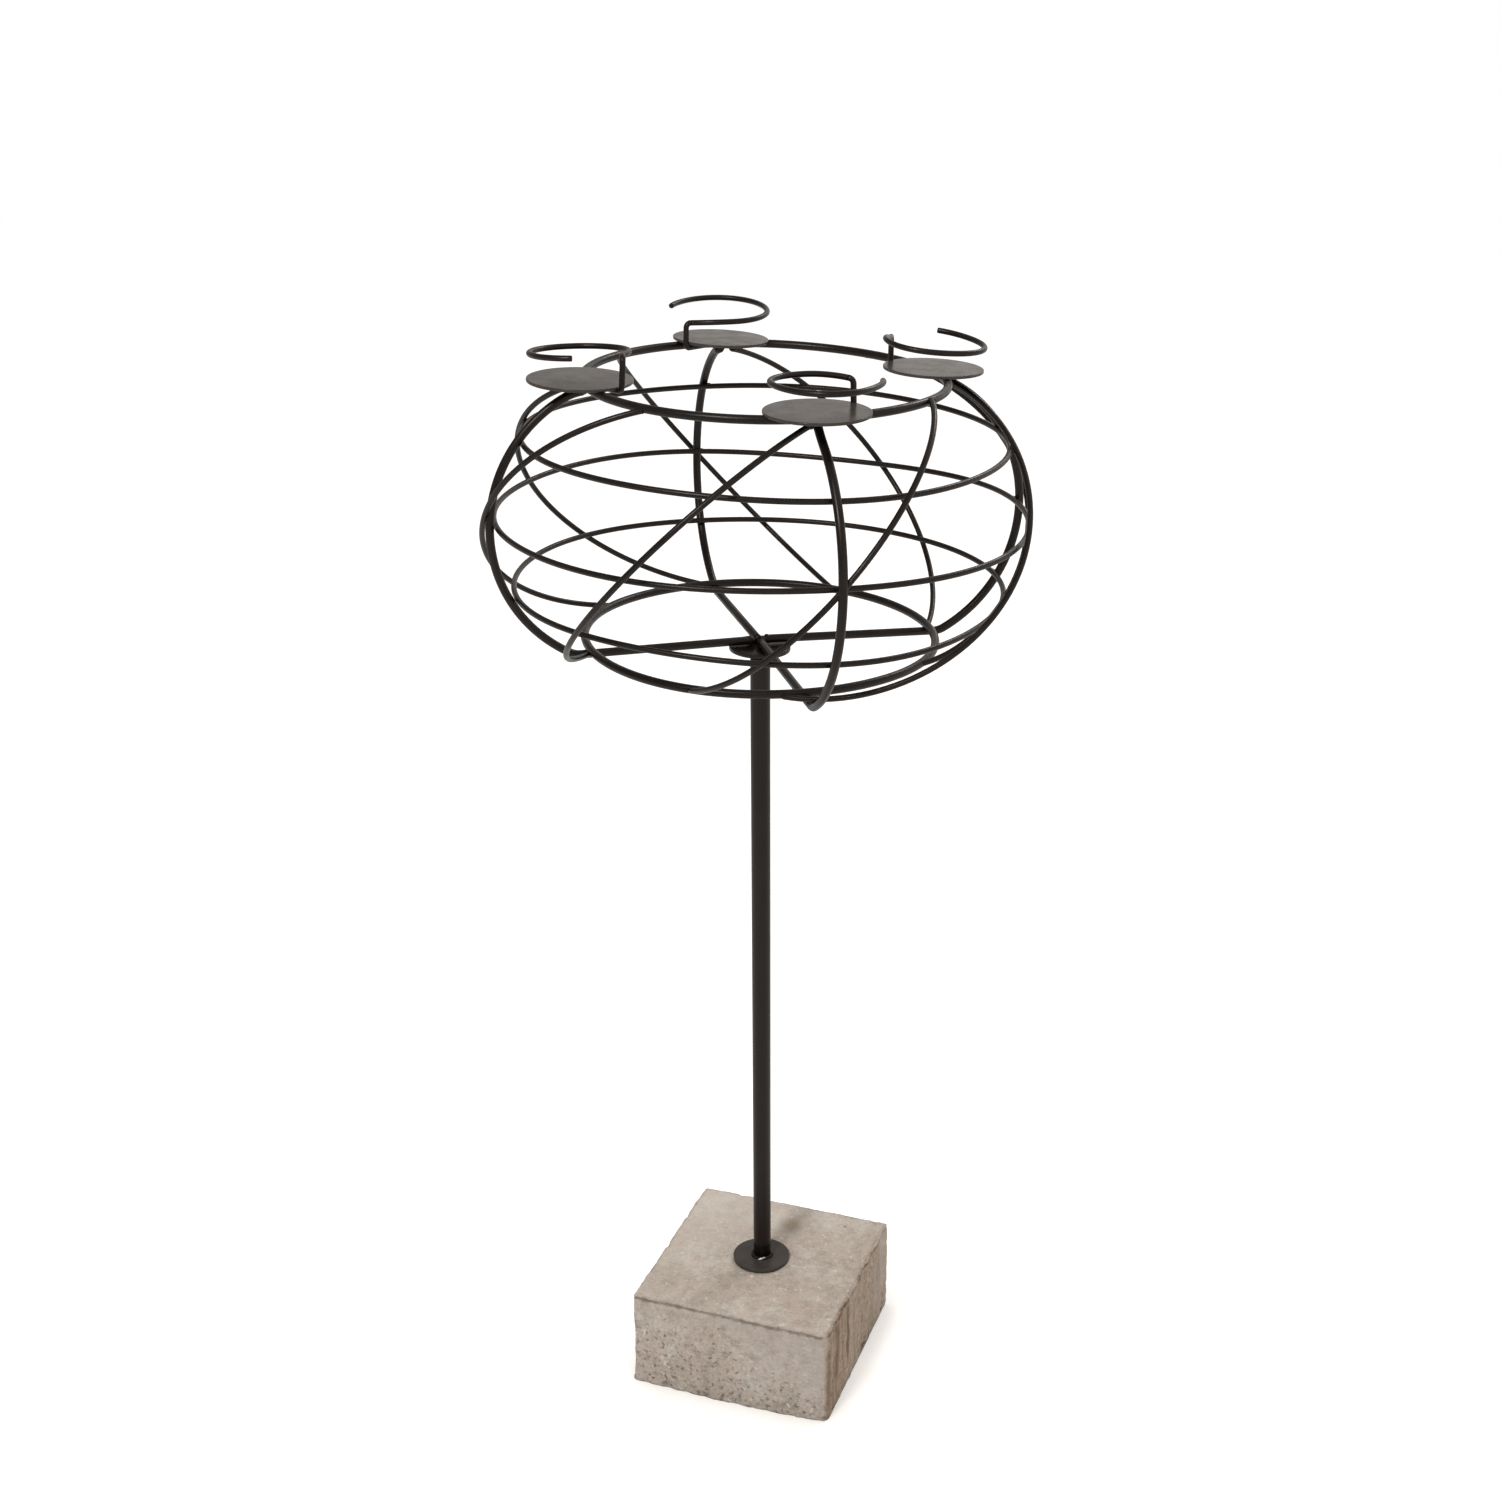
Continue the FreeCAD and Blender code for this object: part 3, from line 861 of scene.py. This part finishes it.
# Concrete block: a cast block with worn edges, chips and rough sides
def chipped(point, half):
    # How deep the surface lies at a place on the block.
    edge_gap = sorted(half[k] - abs(point[k]) for k in range(3))[1]
    on_top = half.z - point.z < on_face
    depth = 0.30 * noise.noise(point * 0.21)
    if not on_top:
        depth += 0.6 * noise.fractal(point * 0.046, 1.0, 2.0, 4)
        depth += 1.0 * max(0.0, noise.noise(point * 0.12 + Vector((7, 3, 1))) - 0.15)
    if edge_gap < chip_zone:
        chip = (noise.noise(point * 0.060 + Vector((1, 9, 4)))
                + 0.5 * noise.noise(point * 0.150))
        depth += chip_depth * max(0.0, chip - 0.22) * (1 - edge_gap / chip_zone)
    if half.x - point.x < on_face:
        ridges = noise.noise(Vector((0.5, point.y * 0.062, point.z * 0.007)))
        depth += 1.2 * ridges + 2.4 * max(0.0, ridges - 0.1)
    above = point.z + half.z
    if above < flare_height and half.y + point.y < on_face:
        # The foot of the front flares, most in the middle.
        flare = 2.6 + 2.2 * (1 - (point.x / half.x) ** 2) - 0.6 * point.x / half.x
        flare *= min(1.0, (half.x - point.x) / flare_height)
        depth -= flare * (1 - above / flare_height) ** 1.5
    if above < foot_wear_height:
        low = noise.noise(Vector((point.x * 0.070, point.y * 0.070, 2.0)))
        depth += foot_wear_depth * max(0.0, low + 0.10) * (1 - above / foot_wear_height)
    if not on_top:
        depth += seam_depth * max(0.0, 1 - abs(point.z + half.z - seam_height) / seam_width)
    if point.z < -half.z + on_face:
        depth = 0.0
    return depth


def block_surface(point, half):
    worn = 2.1 + 1.6 * max(0.0, noise.noise(point * 0.028)) + 0.8 * noise.noise(point * 0.095)
    core = Vector([max(worn - half[k], min(half[k] - worn, point[k])) for k in range(3)])
    outwards = (point - core).normalized()
    moved = core + outwards * (worn - chipped(point, half))
    # The upright edge between the front and the right side is knocked round.
    height = point.z + half.z
    round_off = round_radius + round_change * noise.noise(Vector((3.0, 1.0, height * 0.045)))
    round_off += (round_foot_growth * max(0.0, 1 - height / round_foot_height)
                  + round_top_growth * max(0.0, (height - round_top_height) / round_top_reach))
    away = Vector((moved.x - half.x + round_off, moved.y + half.y - round_off))
    if away.x > 0 and away.y < 0:
        spall = 0.9 * max(0.0, noise.noise(Vector((away.x, away.y, height)) * 0.11))
        if away.length > round_off - spall:
            away *= (round_off - spall) / away.length
        moved.x = half.x - round_off + away.x
        moved.y = round_off - half.y + away.y
    # The flared foot stays above the floor.
    moved.z = max(moved.z, -half.z)
    return moved


def block_piece():
    half = Vector((block_width / 2, block_depth / 2, block_height / 2))
    bm = bmesh.new()
    bmesh.ops.create_cube(bm, size=2.0)
    bmesh.ops.subdivide_edges(bm, edges=bm.edges[:], cuts=block_cuts, use_grid_fill=True)
    for vertex in bm.verts:
        point = Vector([vertex.co[k] * half[k] for k in range(3)])
        vertex.co = (block_surface(point, half) + up * half.z) * mm
    return finish_piece("paving_block", bm, concrete, ("concrete_block",))


block_piece()

# The hidden fixing keeps its shape
for name in ("threaded_sleeve", "foot_stud"):
    nodes[name].data.materials.clear()
    nodes[name].data.materials.append(zinc)

# Camera
camera_data = bpy.data.cameras.new("camera")
camera_data.lens = camera_lens
camera_data.sensor_width = sensor_width
camera = bpy.data.objects.new("camera", camera_data)
bpy.context.collection.objects.link(camera)
heading, dip, roll = radians(camera_heading), radians(camera_dip), radians(camera_roll)
ahead = Vector((-sin(heading) * cos(dip), cos(heading) * cos(dip), -sin(dip)))
level = Vector((cos(heading), sin(heading), 0))
down = ahead.cross(level)
across = level * cos(roll) + down * sin(roll)
above = level * sin(roll) - down * cos(roll)
camera.matrix_world = Matrix.Translation(camera_place) @ Matrix(
    (across, above, -ahead)).transposed().to_4x4()
bpy.context.scene.camera = camera

# Pale floor. Seen directly or mirrored it is lifted to white, and keeps only the shadow close
# under the block, which ambient occlusion deepens there as painted shadow.
floor_reach = 8.0
shadow_reach = 0.045
floor_mesh = bpy.data.meshes.new("floor")
floor_mesh.from_pydata([place(floor_reach, 45 + 90 * k, 0) for k in range(4)], [], [(0, 1, 2, 3)])
floor = bpy.data.objects.new("floor", floor_mesh)
bpy.context.collection.objects.link(floor)
floor_paint, tree, shader, where = new_material("pale_floor")
shader.inputs["Roughness"].default_value = 0.9
shader.inputs["Specular IOR Level"].default_value = 0.0
rays = tree.nodes.new("ShaderNodeLightPath").outputs
seen = add_sum(tree, "MAXIMUM", rays["Is Camera Ray"],
               add_sum(tree, "MULTIPLY", rays["Is Glossy Ray"], 0.25))
hidden = tree.nodes.new("ShaderNodeAmbientOcclusion")
hidden.inputs["Distance"].default_value = shadow_reach
hidden.samples = 6
# Painted shadow: colour and lift fall off where the block hides the floor
opening = add_range(tree, hidden.outputs["AO"], 0.45, 1.0, 0.0, 1.0)
floor_colour_and_painted_shadow = add_mix(tree, "MIX", opening, (0.62, 0.585, 0.55), (0.82, 0.80, 0.77))
tree.links.new(floor_colour_and_painted_shadow, shader.inputs["Base Color"])
glow = add_sum(tree, "MULTIPLY", seen, add_range(tree, opening, 0.0, 1.0, 0.38, 0.58))
tree.links.new(glow, shader.inputs["Emission Strength"])
shader.inputs["Emission Color"].default_value = (1.0, 0.98, 0.955, 1)
floor_mesh.materials.append(floor_paint)


# Soft studio light
def soft_light(name, spot, target, size, power, colour=(1, 1, 1)):
    data = bpy.data.lights.new(name, "AREA")
    data.shape = "SQUARE"
    data.size = size
    data.energy = power
    data.color = colour
    lamp = bpy.data.objects.new(name, data)
    lamp.location = spot
    lamp.rotation_euler = (target - spot).to_track_quat("-Z", "Y").to_euler()
    bpy.context.collection.objects.link(lamp)


middle_of_stand = Vector((0, 0, 0.55))
soft_light("key", seen_from_camera(-1.25, -2.1, 3.0), middle_of_stand, 0.6, 50.0)
soft_light("fill", seen_from_camera(1.5, 1.8, 2.6), middle_of_stand, 0.6, 14.0)

# The world lights the stand softly, and is white where it is seen. Mirrored,
# it falls off to the left and overhead, like a studio with one bright side.
world = bpy.data.worlds.new("studio")
bpy.context.scene.world = world
world.use_nodes = True
tree = world.node_tree
background = tree.nodes["Background"]
rays = tree.nodes.new("ShaderNodeLightPath").outputs
warm = add_mix(tree, "MIX", rays["Is Glossy Ray"], (1.0, 1.0, 1.0), (1.0, 0.945, 0.90))
tree.links.new(warm, background.inputs["Color"])
towards = tree.nodes.new("ShaderNodeTexCoord").outputs["Generated"]
sideways = tree.nodes.new("ShaderNodeVectorMath")
sideways.operation = "DOT_PRODUCT"
sideways.inputs[1].default_value = seen_from_camera(1, 0, 0)
tree.links.new(towards, sideways.inputs[0])
parts = tree.nodes.new("ShaderNodeSeparateXYZ")
tree.links.new(towards, parts.inputs["Vector"])
mirrored = add_sum(tree, "MULTIPLY",
                   add_range(tree, sideways.outputs["Value"], -0.36, 0.24, 0.42, 1.0),
                   add_range(tree, parts.outputs["Z"], 0.12, 0.40, 1.0, 0.70))
mirrored = add_sum(tree, "MULTIPLY", rays["Is Glossy Ray"], mirrored)
seen = add_sum(tree, "MAXIMUM", rays["Is Camera Ray"], rays["Is Transmission Ray"])
bright = add_sum(tree, "MAXIMUM", seen, mirrored)
plain = add_sum(tree, "SUBTRACT", 1.0, add_sum(tree, "MAXIMUM", seen, rays["Is Glossy Ray"]))
bright = add_sum(tree, "ADD", bright, add_sum(tree, "MULTIPLY", plain, 0.62))
tree.links.new(bright, background.inputs["Strength"])
bpy.context.scene.view_settings.view_transform = "Standard"
